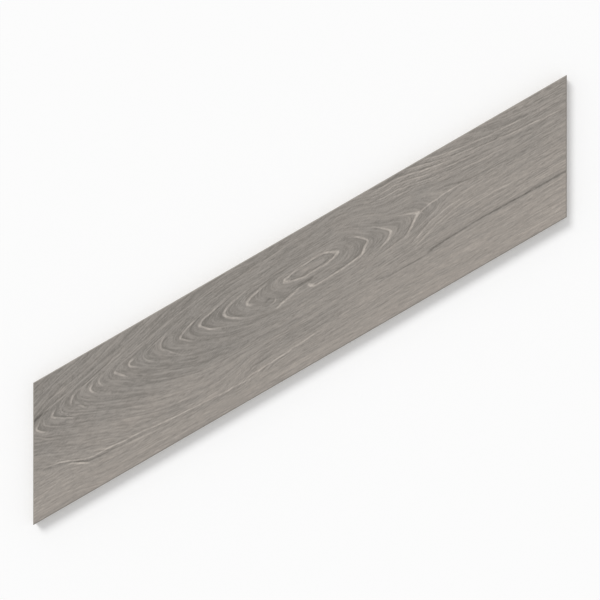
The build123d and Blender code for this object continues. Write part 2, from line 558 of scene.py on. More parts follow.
def nearest_line(x, y, rows):
    """For each point, the line that weighs most there: how far off it is, more than 0 on the line's left,
    its strength there, and its half width. The distance is to the nearest place on the line's runs. The
    strength eases in over the fading length from each end, and the line grows thinner with it. It is
    strongest and widest where it runs across the plank, at the tip of an arch, and fades out far off."""
    best = np.full(x.shape, np.inf)
    off = np.full(x.shape, LINE_REACH)
    strength = np.zeros(x.shape)
    half_width = np.full(x.shape, FREE_WIDTH)
    for strong, wide, fade_in, fade_out, drawn in rows:
        points = softened(softened(np.array(drawn, float)))
        run = np.diff(points, axis=0)
        length = np.hypot(*run.T)
        begin = np.cumsum(length) - length
        low = points.min(axis=0) - LINE_REACH
        high = points.max(axis=0) + LINE_REACH
        close = (x > low[0]) & (x < high[0]) & (y > low[1]) & (y < high[1])
        to_x = x[close][:, None] - points[:-1, 0]
        to_y = y[close][:, None] - points[:-1, 1]
        share = np.clip((to_x * run[:, 0] + to_y * run[:, 1]) / length**2, 0, 1)
        apart = np.hypot(to_x - share * run[:, 0], to_y - share * run[:, 1])
        nearest = np.argmin(apart, axis=1)
        pick = np.arange(len(nearest)), nearest
        side = np.where(run[nearest, 0] * to_y[pick] > run[nearest, 1] * to_x[pick], 1, -1)
        along = begin[nearest] + share[pick] * length[nearest]
        ends = eased(along, FADE_START, fade_in) * eased(length.sum() - along, FADE_START, fade_out)
        ends *= 1 - eased(apart[pick], *LINE_FADE)
        rise = np.abs(run[nearest, 1]) / length[nearest]
        weight = apart[pick] / wide - strong * ends
        wins = np.zeros(x.shape, bool)
        wins[close] = weight < best[close]
        won = wins[close]
        best[wins] = weight[won]
        off[wins] = (apart[pick] * side)[won]
        strength[wins] = (strong * ends * (LEVEL_STRENGTH + CROSS_STRENGTH * rise))[won]
        half_width[wins] = (wide * (END_WIDTH + ends * (WHOLE_WIDTH + CROSS_WIDTH * rise)))[won]
    return np.clip(off, -LINE_REACH, LINE_REACH), strength, half_width


def drawn_along(speckle, flow, steps):
    """Carries every point along the grain both ways and adds up the speckle that it meets, so that the
    speckle turns into streaks, which end where they leave the face. The sum is divided by the root of how
    many it holds, and the result has a mean of 0 and a spread of 1."""
    last = (np.array(speckle.shape) - 1)[:, None, None]
    total = speckle.copy()
    count = np.ones(speckle.shape)
    for sense in (1, -1):
        place = np.stack(np.indices(speckle.shape)).astype(float)
        for _ in range(steps):
            i, j = np.clip(np.rint(place), 0, last).astype(int)
            place += sense * flow[:, i, j]
            inside = np.all((place >= 0) & (place <= last), axis=0)
            i, j = np.clip(np.rint(place), 0, last).astype(int)
            total += speckle[i, j] * inside
            count += inside
    total /= np.sqrt(count)
    return (total - total.mean()) / total.std()


class Grain(NamedTuple):
    """What the grain has at each point of the face: the nearest pale line and dark line, each as distance,
    strength and half width, three kinds of streaks, and the ground, as its tone, the place across the grain
    and how straight the grain runs."""

    pale_line: tuple
    dark_line: tuple
    streaks: tuple
    ground: tuple


def grain_flow(x, y, depth, below, plain):
    """One step along the grain from each point, in steps of the face's grid. It follows the lines of equal
    depth, and turns straight by the share plain and along the vein by the share below."""
    step_x = x[1, 0] - x[0, 0]
    step_y = y[0, 1] - y[0, 0]
    lean = (x[0, 1] - x[0, 0]) / step_y
    by_i, by_j = np.gradient(depth)
    depth_x = by_i / step_x
    depth_y = by_j / step_y - lean * depth_x
    steep = np.hypot(depth_x, depth_y).clip(TINY)
    vein_slope = (curve_through(x + 1, VEIN) - curve_through(x - 1, VEIN)) / 2
    along_x = -depth_y / steep * (1 - plain) - np.sign(depth_y) * plain
    along_y = depth_x / steep * (1 - plain)
    along_x = along_x * (1 - below) + below
    along_y = along_y * (1 - below) + VEIN_LEAN * vein_slope * below
    long = np.hypot(along_x, along_y).clip(TINY)
    return FLOW_STEP * np.stack(((along_x - lean * along_y) / step_x, along_y / step_y)) / long


def face_grain(x, y, seed):
    """Works out the grain over the face's grid, x and y in millimetres. The streaks follow the lines of
    equal depth behind the eye, turn straight beyond the fork, and follow the long vein below it. They are
    stronger at both ends and over the top, and weaker below the vein and on the calm ground, which lies
    beside the eye and at the lower right. The place across the grain is the square root of the depth, drawn
    out to about a millimetre for each millimetre away from the figure."""
    wander_x = noises(x, y, ALONG_WANDER, seed)
    wander_y = noises(x, y, ACROSS_WANDER, seed + 1)
    depth = figure_depth(x + wander_x, y + wander_y)
    below = eased(curve_through(x, VEIN) - y, *BELOW_VEIN)
    plain = eased(x, *PAST_FORK) * bell(y - AXIS_MIDDLE, FORK_BREADTH)
    lower_right = eased(x, *CALM_ALONG) * eased(-y, *CALM_BELOW)
    calm = 1 - (1 - lower_right) * (1 - soft_patches(x, y, BESIDE_EYE))
    left = eased(-x, *LEFT_ALONG) * eased(y, *LEFT_ABOVE) * (1 - eased(y, *LEFT_BELOW))
    vivid = 1 + LEFT_GAIN * left + RIGHT_GAIN * eased(x, *RIGHT_ALONG)
    swept = 1 + SWEPT_GAIN * eased(y, *SWEPT_ABOVE) * (1 - bell(x - SWEPT_GAP, SWEPT_GAP_WIDTH))
    faint = (1 - VEIN_LOSS * below) * (1 - CALM_LOSS * calm)
    flow = grain_flow(x, y, depth, below, plain)
    dice = np.random.default_rng(seed + 3)
    broad = drawn_along(noises(x, y, BROAD_SPECKLE, seed + 4), flow, BROAD_STEPS)
    fine = drawn_along(dice.normal(size=x.shape), flow, FINE_STEPS) * swept * vivid * faint
    ticks = drawn_along(dice.normal(size=x.shape), flow, TICK_STEPS) * vivid
    across = np.sqrt(np.maximum(depth + ACROSS_START, 0) * ACROSS_STRETCH)
    straight = 1 - (1 - below) * (1 - plain) * (1 - calm)
    line_x = x + noises(x, y, LINE_WANDER, seed + 7)
    line_y = y + noises(x, y, LINE_WANDER, seed + 8)
    return Grain(
        pale_line=nearest_line(line_x, line_y, PALE_LINES),
        dark_line=nearest_line(x, y, DARK_LINES),
        streaks=(broad, fine, ticks),
        ground=(face_tone(x, y, seed + 5), across, straight),
    )


def face_tone(x, y, seed):
    """The slow change of tone over the face, in screen levels: it lightens towards the right and the lower
    edge, most of all at the two ends, with slow noise and soft patches."""
    below = eased(-y, *TONE_BELOW)
    even = TONE_ALONG * x + TONE_UP * y
    lower = LOWER_LEVELS * eased(-y, *LOWER_BELOW)
    left = LEFT_LEVELS * below * eased(-x, *LEFT_END)
    right = (RIGHT_LEVELS + RIGHT_LOWER_LEVELS * eased(-y, *RIGHT_LOWER)) * eased(x, *RIGHT_END)
    under_eye = EYE_LEVELS * below * bell(x, EYE_WIDTH)
    slow = noises(x, y, TONE_NOISE, seed)
    return even + lower + left + right - under_eye + slow + soft_patches(x, y, TONE_PATCHES)


def pressed(grain, relief):
    """How far below the face's top each point lies: the pale lines, the dark lines and the streaks are
    pressed in, each to its own depth."""
    pale_off, pale_strength, pale_width = grain.pale_line
    dark_off, dark_strength, dark_width = grain.dark_line
    shared = sum(share * kind for share, kind in zip(STREAK_SHARES, grain.streaks))
    streak = eased(-shared, *STREAK_RANGE)
    lines = relief.line_depth * pale_strength * bell(pale_off, pale_width.clip(RELIEF_WIDTH))
    cracks = relief.crack_depth * dark_strength * bell(dark_off, dark_width.clip(RELIEF_WIDTH))
    return lines + cracks + relief.streak_depth * streak


def on_plank(s, t, sizes, inset=0.0):
    """X and Y of the points at shares s along and t across a parallelogram set in from the plank's outline:
    Y goes evenly across, and X evenly along and over by Y divided by the corner's tangent."""
    y = (t - 0.5) * (sizes.width - 2 * inset)
    x = (s - 0.5) * (sizes.edge - 2 * inset / math.sin(sizes.corner))
    return x + y / math.tan(sizes.corner), y


def rim_of(grid):
    """The border of a grid of point numbers, once round, anticlockwise from the grid's first corner."""
    return np.concatenate([grid[:-1, 0], grid[-1, :-1], grid[:0:-1, -1], grid[0, :0:-1]])


def cell_lines(count, pitch, length):
    """Where the lattice's cells are divided: the inner borders stand a pitch apart about the middle, the
    outer two lie on the plank's edges, and each cell is cut into equal steps."""
    borders = (np.arange(count + 1) - count / 2) * pitch
    borders[0] = -length / 2
    borders[-1] = length / 2
    return np.interp(np.arange(count * POCKET_STEPS + 1) / POCKET_STEPS, np.arange(count + 1), borders)


def pocket_outline(sizes, radius):
    """Once round a pocket, anticlockwise from the middle of its first corner: arcs of this radius about the
    four corners of a rhombus, each from one side's normal to the next one's, with straight runs between."""
    core = sizes.pocket - 2 * sizes.pocket_corner
    share = np.array([(0, 0), (1, 0), (1, 1), (0, 1)]) - 0.5
    y = share[:, 1] * core
    x = share[:, 0] * core / math.sin(sizes.corner) + y / math.tan(sizes.corner)
    right = math.pi / 2
    start = np.array([sizes.corner + right, -right, sizes.corner - right, right])
    span = np.array([math.pi - sizes.corner, sizes.corner] * 2)
    angle = start[:, None] + span[:, None] * np.linspace(0, 1, ARC_STEPS + 1)
    arcs = np.stack((x[:, None] + radius * np.cos(angle), y[:, None] + radius * np.sin(angle)), axis=-1)
    ends = np.roll(arcs[:, 0], -1, axis=0)
    runs = POCKET_STEPS - ARC_STEPS
    part = (np.arange(1, runs) / runs)[None, :, None]
    straight = arcs[:, -1][:, None] * (1 - part) + ends[:, None] * part
    return np.roll(np.concatenate((arcs, straight), axis=1).reshape(-1, 2), -(ARC_STEPS // 2), axis=0)


class Patch(NamedTuple):
    """Faces of one kind: the points at their corners, their places on the map, their slot and shading."""

    corners: np.ndarray
    places: np.ndarray
    slot: int
    smooth: bool


# Where each part of the plank lies on the map, as (left, right, bottom, top), and how far up an edge's place
# its shoulder stands
FACE_PLACE = (0.005, 0.995, 0.300, 0.995)
BACK_PLACE = (0.005, 0.995, 0.005, 0.195)
EDGE_PLACES = (
    (0.005, 0.995, 0.210, 0.225),
    (0.505, 0.740, 0.270, 0.285),
    (0.005, 0.995, 0.240, 0.255),
    (0.005, 0.240, 0.270, 0.285),
)
SHOULDER_SHARE = 0.9


def placed(place, across, up):
    """Shares across and up a place on the map, as map coordinates."""
    left, right, bottom, top = place
    return np.stack((left + (right - left) * across, bottom + (top - bottom) * up), axis=-1)


def face_patch(numbers, shares):
    """The quads of the face's grid."""
    corners = np.stack((numbers[:-1, :-1], numbers[1:, :-1], numbers[1:, 1:], numbers[:-1, 1:]), axis=-1)
    s, t = shares
    spots = placed(FACE_PLACE, s, t)
    places = np.stack((spots[:-1, :-1], spots[1:, :-1], spots[1:, 1:], spots[:-1, 1:]), axis=2)
    return Patch(corners.reshape(-1, 4), places.reshape(-1, 4, 2), FACE_SLOT, True)


def edge_patches(top, shoulder, foot, foot_steps):
    """The bevel, as quads from the face's rim down to the shoulder, and the edges below it, where each step
    of the foot takes several steps of the shoulder in a fan of triangles."""
    patches = []
    begin_fine = 0
    begin_coarse = 0
    for side, place in enumerate(EDGE_PLACES):
        fine = FACE_STEPS[side % 2]
        coarse = foot_steps[side % 2]
        ring = (begin_fine + np.arange(fine + 1)) % len(top)
        base = (begin_coarse + np.arange(coarse + 1)) % len(foot)
        share = np.arange(fine + 1) / fine
        upper = placed(place, share, np.ones(fine + 1))
        middle = placed(place, share, np.full(fine + 1, SHOULDER_SHARE))
        lower = placed(place, np.arange(coarse + 1) / coarse, np.zeros(coarse + 1))
        strip = (shoulder[ring[:-1]], shoulder[ring[1:]], top[ring[1:]], top[ring[:-1]])
        strip_spots = (middle[:-1], middle[1:], upper[1:], upper[:-1])
        owner = np.arange(fine) * coarse // fine
        fan = (foot[base[owner]], shoulder[ring[1:]], shoulder[ring[:-1]])
        fan_spots = (lower[owner], middle[1:], middle[:-1])
        last = -(-np.arange(1, coarse + 1) * fine // coarse)
        fill = (foot[base[:-1]], foot[base[1:]], shoulder[ring[last]])
        fill_spots = (lower[:-1], lower[1:], middle[last])
        for corners, spots in ((strip, strip_spots), (fan, fan_spots), (fill, fill_spots)):
            patches.append(Patch(np.stack(corners, axis=-1), np.stack(spots, axis=1), BODY_SLOT, False))
        begin_fine += fine
        begin_coarse += coarse
    return patches


def loops_between(outer, inner):
    """The quads between two rows of closed loops, whose faces look down or into the pocket."""
    after = np.roll(outer, -1, axis=1)
    inner_after = np.roll(inner, -1, axis=1)
    return np.stack((outer, inner, inner_after, after), axis=-1).reshape(-1, 4)


def back_points(sizes):
    """The points of the back, in rows of one loop for each pocket: the cell's border, the pocket's mouth,
    its floor's edge, and then the middle of each floor. Also the foot of the plank's edges."""
    tangent = math.tan(sizes.corner)
    pitch = sizes.pocket + sizes.rib
    along_pitch = pitch / math.sin(sizes.corner)
    along = cell_lines(sizes.pockets_along, along_pitch, sizes.edge)
    across = cell_lines(sizes.pockets_across, pitch, sizes.width)

    def at(i, j):
        """The points of the ribs' plane at these lines of the lattice."""
        return np.stack((along[i] + across[j] / tangent, across[j], np.zeros(i.shape)), axis=-1)

    corner_i, corner_j = np.indices((POCKET_STEPS + 1, POCKET_STEPS + 1))
    round_i = rim_of(corner_i)
    round_j = rim_of(corner_j)
    cell_i, cell_j = (c.reshape(-1, 1) for c in np.indices((sizes.pockets_along, sizes.pockets_across)))
    border = at(cell_i * POCKET_STEPS + round_i, cell_j * POCKET_STEPS + round_j)
    middle_y = (cell_j - (sizes.pockets_across - 1) / 2) * pitch
    middle_x = (cell_i - (sizes.pockets_along - 1) / 2) * along_pitch + middle_y / tangent

    def loop(radius, height):
        """Each pocket's outline at a height."""
        outline = pocket_outline(sizes, radius)
        x = middle_x + outline[:, 0]
        return np.stack((x, middle_y + outline[:, 1], np.full(x.shape, height)), axis=-1)

    mouth = loop(sizes.pocket_corner, 0)
    floor = loop(sizes.pocket_corner - sizes.key_depth * math.tan(sizes.pocket_draft), sizes.key_depth)
    middle = np.stack((middle_x, middle_y, np.full(middle_x.shape, sizes.key_depth)), axis=-1)
    foot_i, foot_j = np.indices((len(along), len(across)))
    foot = at(rim_of(foot_i), rim_of(foot_j))
    return foot, border, mouth, floor, middle


def back_patches(sizes, points, border, mouth, floor, middle):
    """The ribs' plane round each pocket, the pocket's leaning walls, and its floor as a fan."""

    def patch(corners):
        """Faces with these corners, laid out on the map as they lie on the back."""
        x, y = points[corners][..., 0], points[corners][..., 1]
        s = (x - y / math.tan(sizes.corner)) / sizes.edge + 0.5
        return Patch(corners, placed(BACK_PLACE, s, y / sizes.width + 0.5), BODY_SLOT, False)

    hub = np.broadcast_to(middle, floor.shape)
    fan = np.stack((floor, hub, np.roll(floor, -1, axis=1)), axis=-1).reshape(-1, 3)
    return [patch(loops_between(border, mouth)), patch(loops_between(mouth, floor)), patch(fan)]


def merged(points, patches):
    """Points that lie in one place become one point. Returns which points are kept, and the patches on
    their new numbers."""
    keys = np.round(points / MERGE_GRID).astype(np.int64)
    _, kept, number = np.unique(keys, axis=0, return_index=True, return_inverse=True)
    number = number.ravel()
    return kept, [patch._replace(corners=number[patch.corners]) for patch in patches]


def mesh_of(name, points, patches):
    """A mesh with these patches, and their places on a map."""
    mesh = bpy.data.meshes.new(name)
    corners = np.concatenate([patch.corners.ravel() for patch in patches])
    places = np.concatenate([patch.places.reshape(-1, 2) for patch in patches])
    faces = [len(patch.corners) for patch in patches]
    sides = np.repeat([patch.corners.shape[1] for patch in patches], faces)
    slots = np.repeat([patch.slot for patch in patches], faces)
    smooth = np.repeat([patch.smooth for patch in patches], faces)
    mesh.vertices.add(len(points))
    mesh.vertices.foreach_set("co", points.astype(np.float32).ravel())
    mesh.loops.add(len(corners))
    mesh.loops.foreach_set("vertex_index", corners.astype(np.int32))
    mesh.polygons.add(len(sides))
    mesh.polygons.foreach_set("loop_start", (np.cumsum(sides) - sides).astype(np.int32))
    mesh.polygons.foreach_set("material_index", slots.astype(np.int32))
    mesh.polygons.foreach_set("use_smooth", smooth)
    mesh.uv_layers.new(name="OFBake").uv.foreach_set("vector", places.astype(np.float32).ravel())
    mesh.update(calc_edges=True)
    if mesh.validate():
        raise RuntimeError(f"the mesh {name} has faulty faces")
    return mesh


def plank_mesh(name, sizes, relief):
    """The whole plank as one closed mesh: the face with its grain pressed in, the bevel, the edges and the
    keyed back. The face's points carry the grain for its finish."""
    s, t = np.meshgrid(*(np.linspace(0, 1, steps + 1) for steps in FACE_STEPS), indexing="ij")
    x, y = on_plank(s, t, sizes, sizes.bevel)
    grain = face_grain(x / MM, y / MM, relief.seed)
    face = np.stack((x, y, sizes.thickness - pressed(grain, relief)), axis=-1)
    numbers = np.arange(x.size).reshape(x.shape)
    rim = rim_of(numbers)
    rim_x, rim_y = on_plank(s.ravel()[rim], t.ravel()[rim], sizes)
    shoulder = np.stack((rim_x, rim_y, np.full(rim_x.shape, sizes.thickness - sizes.bevel)), axis=-1)
    parts = [face, shoulder, *back_points(sizes)]
    counts = [part.size // 3 for part in parts]
    begins = np.cumsum(counts) - counts
    points = np.concatenate([part.reshape(-1, 3) for part in parts])
    rows = [begin + np.arange(n).reshape(part.shape[:-1]) for begin, n, part in zip(begins, counts, parts)]
    _, shoulder_row, foot_row, border, mouth, floor, middle = rows
    foot_steps = (sizes.pockets_along * POCKET_STEPS, sizes.pockets_across * POCKET_STEPS)
    patches = [face_patch(numbers, (s, t))]
    patches += edge_patches(rim, shoulder_row, foot_row, foot_steps)
    patches += back_patches(sizes, points, border, mouth, floor, middle)
    kept, patches = merged(points, patches)
    mesh = mesh_of(name, points[kept], patches)
    for key, fields in grain._asdict().items():
        values = np.zeros((len(points), 3), np.float32)
        values[: x.size] = np.stack([field.ravel() for field in fields], axis=-1)
        mesh.attributes.new(key, "FLOAT_VECTOR", "POINT").data.foreach_set("vector", values[kept].ravel())
    return mesh


NOISE_SPREAD = 3  # takes a noise's range to about -1 to 1


class Amount:
    """A number that a shader works out. Python's operators on it add Math nodes."""

    def __init__(self, nodes, socket):
        self.nodes = nodes
        self.socket = socket

    def maths(self, operation, *others):
        """What a Math node makes of this number and the others."""
        return self.nodes.maths(operation, self, *others)

    def __add__(self, other):
        return self.maths("ADD", other)

    def __sub__(self, other):
        return self.maths("SUBTRACT", other)

    def __rsub__(self, other):
        return self.nodes.maths("SUBTRACT", other, self)

    def __mul__(self, other):
        return self.maths("MULTIPLY", other)

    def __truediv__(self, other):
        return self.maths("DIVIDE", other)

    __radd__ = __add__
    __rmul__ = __mul__

    def bell(self):
        """The bell curve of the number: e to the power of minus its square."""
        return (self * self * -1).maths("EXPONENT")

    def eased(self, low, high):
        """From 0 at low to 1 at high, with an easy start and end."""
        settings = {"interpolation_type": "SMOOTHSTEP"}
        sockets = {"Value": self, "From Min": low, "From Max": high}
        return Amount(self.nodes, self.nodes.add("ShaderNodeMapRange", settings, sockets).outputs["Result"])


class Nodes:
    """A node tree that is emptied and then filled by calls."""

    def __init__(self, tree):
        self.tree = tree
        tree.nodes.clear()

    def add(self, kind, settings, sockets):
        """Adds a node of this type: first its settings, then the values or links of its sockets."""
        node = self.tree.nodes.new(kind)
        for name, value in settings.items():
            if name == "stops":
                self.set_stops(node.color_ramp, value)
            else:
                setattr(node, name, value)
        for name, value in sockets.items():
            if isinstance(value, Amount):
                value = value.socket
            if isinstance(value, bpy.types.NodeSocket):
                self.tree.links.new(value, node.inputs[name])
            else:
                node.inputs[name].default_value = value
        return node

    def set_stops(self, ramp, stops):
        """Gives a ramp these stops, each a place from 0 to 1 and a colour."""
        while len(ramp.elements) < len(stops):
            ramp.elements.new(1.0)
        for element, (place, colour) in zip(ramp.elements, stops):
            element.position = place
            element.color = (*colour, 1.0)

    def maths(self, operation, *values):
        """What a Math node makes of these numbers."""
        sockets = dict(enumerate(values))
        return Amount(self, self.add("ShaderNodeMath", {"operation": operation}, sockets).outputs[0])

    def parts(self, vector):
        """The three numbers of a vector."""
        outputs = self.add("ShaderNodeSeparateXYZ", {}, {"Vector": vector}).outputs
        return [Amount(self, outputs[axis]) for axis in "XYZ"]

    def carried(self, name):
        """The three numbers that the mesh carries under a name."""
        settings = {"attribute_name": name, "attribute_type": "GEOMETRY"}
        return self.parts(self.add("ShaderNodeAttribute", settings, {}).outputs["Vector"])

    def place(self, scale):
        """The piece's own coordinates, stretched by a scale for each axis."""
        own = self.add("ShaderNodeTexCoord", {}, {}).outputs["Object"]
        return self.add("ShaderNodeMapping", {}, {"Vector": own, "Scale": scale}).outputs["Vector"]

    def vector(self, x, y, z):
        """A vector from three numbers."""
        return self.add("ShaderNodeCombineXYZ", {}, {"X": x, "Y": y, "Z": z}).outputs["Vector"]

    def noise(self, place, detail, roughness=0.5):
        """Noise about 0, from about -1 to 1, with cells of one unit of the place that it is given."""
        sockets = {"Vector": place, "Scale": 1.0, "Detail": detail, "Roughness": roughness}
        noise = Amount(self, self.add("ShaderNodeTexNoise", {}, sockets).outputs["Fac"])
        return (noise - 0.5) * NOISE_SPREAD

    def own_noise(self, cells, detail, roughness=0.5):
        """Noise over the piece's own coordinates, with cells of these sizes in millimetres."""
        return self.noise(self.place([1 / (size * MM) for size in cells]), detail, roughness)

    def mix(self, share, first, second, blend="MIX"):
        """Two colours mixed by a share."""
        settings = {"data_type": "RGBA", "blend_type": blend, "clamp_factor": True}
        return self.add("ShaderNodeMix", settings, {0: share, 6: first, 7: second}).outputs[2]

    def bumped(self, height, settings):
        """The surface's direction as a height bends it."""
        return self.add("ShaderNodeBump", {}, {"Height": height, **settings}).outputs["Normal"]

    def surface(self, sockets):
        """Ends the tree in one surface shader."""
        shader = self.add("ShaderNodeBsdfPrincipled", {}, sockets).outputs["BSDF"]
        self.add("ShaderNodeOutputMaterial", {}, {"Surface": shader})


def new_finish(name):
    """An empty material and its nodes."""
    material = bpy.data.materials.new(name)
    material.use_nodes = True
    return material, Nodes(material.node_tree)


def opaque(colour):
    """A colour with full alpha."""
    return (*colour, 1.0)


# The print of the face. Its noises, by the sizes of their cells in millimetres, with their detail and
# roughness, and its strands, by their length, their breadth and the layer of noise that they are cut from
RAGGED = ((1.6, 1.1, 1), 2)
BROKEN = ((2.6, 2.0, 1), 2)
SPECK = ((0.9, 0.7, 1), 2, 0.6)
STRAND_NOISE = (2, 0.58)
FIBRE = (34, 0.62, 0.0)
HAIR = (20, 0.32, 7.0)
WARM_BAND = (14, 3.0, 3.0)

# Its lines: how far the noise moves them, their usual strength and how far the noise changes it, and how far
# the dark edge beside a pale line reaches and where it begins
PALE_RAGGED = 0.14
DARK_RAGGED = 0.16
PALE_USUAL = 0.86
PALE_BROKEN = 0.42
DARK_USUAL = 0.9
DARK_BROKEN = 0.3
EDGE_REACH = 1.1
EDGE_BEGIN = (0.25, 0.95)

# Its streaks: over which of their values a pore and a stroke take shape
PORE_RANGE = (0.4, 1.3)
STROKE_RANGE = (-1.2, 1.2)

# What each part adds to the lightness, in screen levels, and how many levels the ramp spans
BROAD_LEVELS = 1.2
STROKE_LEVELS = 14.0
PORE_LEVELS = 8.0
FIBRE_LEVELS = 4.0
HAIR_LEVELS = 6.0
SPECK_LEVELS = 2.6
STRAIGHT_SPECK_LEVELS = 1.8
PALE_LEVELS = 42
EDGE_LEVELS = 32
DARK_LEVELS = 36
RAMP_LEVELS = 100
RAMP_PLACES = (0.0, 0.28, 0.5, 0.63, 0.96)

# What the tone and the bands add to the warmth, and what the parts add to the bump and to the roughness
TONE_WARMTH = 0.02
BAND_WARMTH = 0.28
FIBRE_BUMP = 0.5
HAIR_BUMP = 0.4
TICK_BUMP = 0.3
FACE_BUMP = {"Strength": 0.35, "Distance": 0.12 * MM}
STREAK_ROUGHNESS = 0.02
PALE_ROUGHNESS = 0.08
FACE_SPECULAR = 0.4


def grain_finish(colours):
    """The face: a matt print of the grain. Its lightness adds up, in screen levels, from the slow tone, the
    streaks, the fibres and the lines, and a ramp from dark to pale turns it into colour."""
    material, nodes = new_finish("wood_grain_print")
    pale_off, pale_strength, pale_width = nodes.carried("pale_line")
    dark_off, dark_strength, dark_width = nodes.carried("dark_line")
    broad, fine, ticks = nodes.carried("streaks")
    tone, across, straight = nodes.carried("ground")
    x, y = nodes.parts(nodes.place((1 / MM,) * 3))[:2]
    ragged = nodes.own_noise(*RAGGED)
    broken = nodes.own_noise(*BROKEN)

    def strands(length, breadth, layer):
        """Noise drawn out along the grain, which bends with the figure where the grain isn't straight."""
        curved = nodes.noise(nodes.vector(x / length, across / breadth, layer), *STRAND_NOISE)
        level = nodes.noise(nodes.vector(x / length, y / breadth, layer), *STRAND_NOISE)
        return curved * (1 - straight) + level * straight

    fibre = strands(*FIBRE)
    hair = strands(*HAIR)
    pale_share = (pale_off + PALE_RAGGED * ragged) / pale_width
    pale = pale_strength * (pale_share * pale_share).bell() * (PALE_USUAL + PALE_BROKEN * broken)
    beside = (pale_off.maths("MAXIMUM", 0.0) / -EDGE_REACH).maths("EXPONENT")
    edge = pale_strength * beside * pale_off.eased(*EDGE_BEGIN)
    dark_share = (dark_off + DARK_RAGGED * ragged) / dark_width
    dark = dark_strength * dark_share.bell() * (DARK_USUAL + DARK_BROKEN * broken)
    pores = ticks.eased(*PORE_RANGE) - (ticks * -1).eased(*PORE_RANGE)
    strokes = fine.eased(*STROKE_RANGE) - 0.5
    speck = nodes.own_noise(*SPECK) * (SPECK_LEVELS + STRAIGHT_SPECK_LEVELS * straight)
    streaks = BROAD_LEVELS * broad + STROKE_LEVELS * strokes + PORE_LEVELS * pores
    grains = streaks + FIBRE_LEVELS * fibre + HAIR_LEVELS * hair + speck
    level = tone + grains + PALE_LEVELS * pale - EDGE_LEVELS * edge - DARK_LEVELS * dark
    tones = (colours.dark, colours.shade, colours.ground, colours.light, colours.pale)
    settings = {"stops": list(zip(RAMP_PLACES, tones))}
    ramp = nodes.add("ShaderNodeValToRGB", settings, {"Fac": 0.5 + level / RAMP_LEVELS})
    warmth = 0.5 + TONE_WARMTH * tone + BAND_WARMTH * strands(*WARM_BAND)
    cast = nodes.mix(warmth, opaque(colours.cool), opaque(colours.warm))
    height = FIBRE_BUMP * fibre + HAIR_BUMP * hair + TICK_BUMP * ticks
    streaky = colours.roughness + STREAK_ROUGHNESS * broad + STREAK_ROUGHNESS * fibre
    nodes.surface({
        "Base Color": nodes.mix(1.0, ramp.outputs["Color"], cast, "MULTIPLY"),
        "Roughness": streaky + PALE_ROUGHNESS * pale,
        "Specular IOR Level": FACE_SPECULAR,
        "Normal": nodes.bumped(height, FACE_BUMP),
    })
    return material


# The fired body: its noises like those above, what they add to its shade and to the bump, the darkest and the
# lightest shade as shares of its colour and their places on the ramp
SPECKLE = ((0.5, 0.5, 0.5), 2, 0.6)
CLOUD = ((24, 24, 6), 3)
GRINDING = ((26, 26, 0.32), 2, 0.6)
WASH = ((14, 14, 14), 3)
SPECKLE_SHADE = 0.10
CLOUD_SHADE = 0.09
GRINDING_SHADE = 0.10
SPECKLE_BUMP = 0.5
GRINDING_BUMP = 0.6
BODY_BUMP = {"Strength": 0.4, "Distance": 0.08 * MM}
BODY_DARK = 0.80
BODY_LIGHT = 1.16
BODY_PLACES = (0.2, 0.8)
BODY_ROUGHNESS = 0.74
SPECKLE_ROUGHNESS = 0.05
BODY_SPECULAR = 0.35

# The print's colour on the bevel, by shares of the bevel below the top, and the wash, by heights and by a
# range of its noise, each with how much of it covers the body
PRINT_EDGE = (0.9, 0.2)
PRINT_COVER = 0.8
WASH_HEIGHT = (0.05 * MM, 0.3 * MM)
WASH_RANGE = (-0.5, 0.9)
WASH_COVER = 0.7


def body_finish(colours, sizes):
    """The fired body: fine speckle all over, grinding marks along the edges, the print's colour on the upper
    part of the bevel, and patches of kiln wash on the ribs of the back."""
    material, nodes = new_finish("porcelain_body")
    own = nodes.add("ShaderNodeTexCoord", {}, {}).outputs["Object"]
    height = nodes.parts(own)[2]
    speckle = nodes.own_noise(*SPECKLE)
    grinding = nodes.own_noise(*GRINDING)
    cloud = nodes.own_noise(*CLOUD)
    shade = 0.5 + SPECKLE_SHADE * speckle + CLOUD_SHADE * cloud + GRINDING_SHADE * grinding
    dark = [value * BODY_DARK for value in colours.body]
    light = [min(1.0, value * BODY_LIGHT) for value in colours.body]
    settings = {"stops": list(zip(BODY_PLACES, (dark, light)))}
    ramp = nodes.add("ShaderNodeValToRGB", settings, {"Fac": shade})
    print_edge = [sizes.thickness - share * sizes.bevel for share in PRINT_EDGE]
    printed = height.eased(*print_edge)
    near_face = nodes.mix(printed * PRINT_COVER, ramp.outputs["Color"], opaque(colours.ground))
    wash = (1 - height.eased(*WASH_HEIGHT)) * nodes.own_noise(*WASH).eased(*WASH_RANGE)
    nodes.surface({
        "Base Color": nodes.mix(wash * WASH_COVER, near_face, opaque(colours.dust)),
        "Roughness": BODY_ROUGHNESS + SPECKLE_ROUGHNESS * speckle,
        "Specular IOR Level": BODY_SPECULAR,
        "Normal": nodes.bumped(SPECKLE_BUMP * speckle + GRINDING_BUMP * grinding, BODY_BUMP),
    })
    return material


def add_object(name, data):
    """Puts a new object at the origin of the scene."""
    piece = bpy.data.objects.new(name, data)
    bpy.context.scene.collection.objects.link(piece)
    return piece


